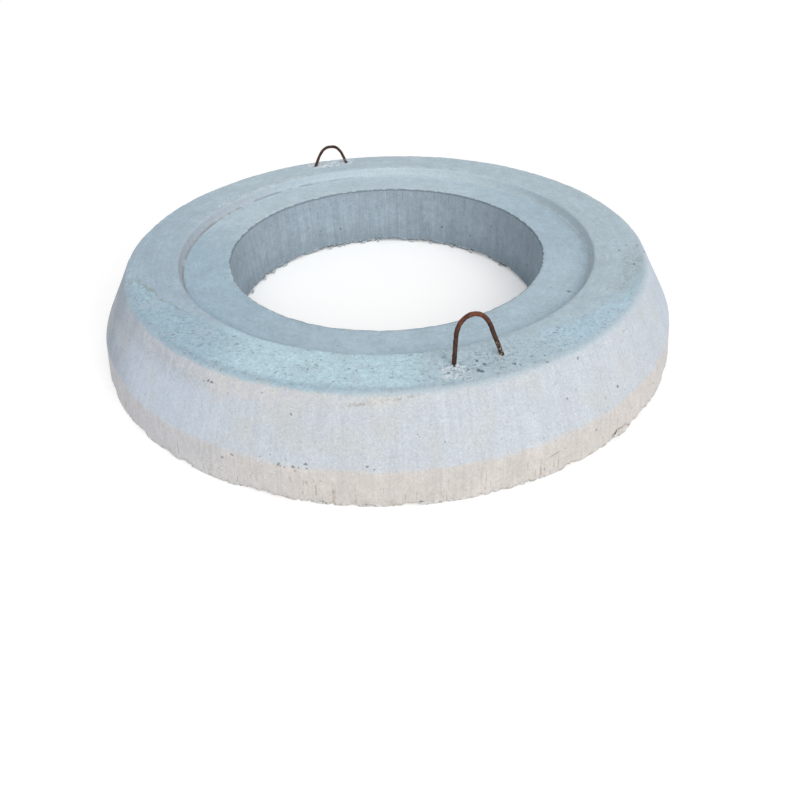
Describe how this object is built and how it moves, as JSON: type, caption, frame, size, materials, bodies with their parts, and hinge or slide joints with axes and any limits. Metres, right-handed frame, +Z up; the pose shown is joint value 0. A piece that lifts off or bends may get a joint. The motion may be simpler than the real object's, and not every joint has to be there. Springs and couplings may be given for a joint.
{
  "type": "concrete load distribution ring",
  "caption": "Round concrete ring with a through bore, a rebate for a frame on top, a conical outside and cast-in wire lifting loops.",
  "frame": {"origin": "centre of the flat underside, on the axis of the bore", "axes": "+Z up along the bore axis, out of the rebate; the two lifting loops lie on the Y axis, the taller one at -Y"},
  "size_m": [1.1008, 1.1008, 0.23],
  "materials": {
    "concrete": "matt, lightly pitted",
    "rusty_wire": "rusted"
  },
  "bodies": {
    "root": {"concrete_ring": "concrete", "lifting_loop_front": "rusty_wire", "lifting_loop_back": "rusty_wire"}
  },
  "joints": []
}
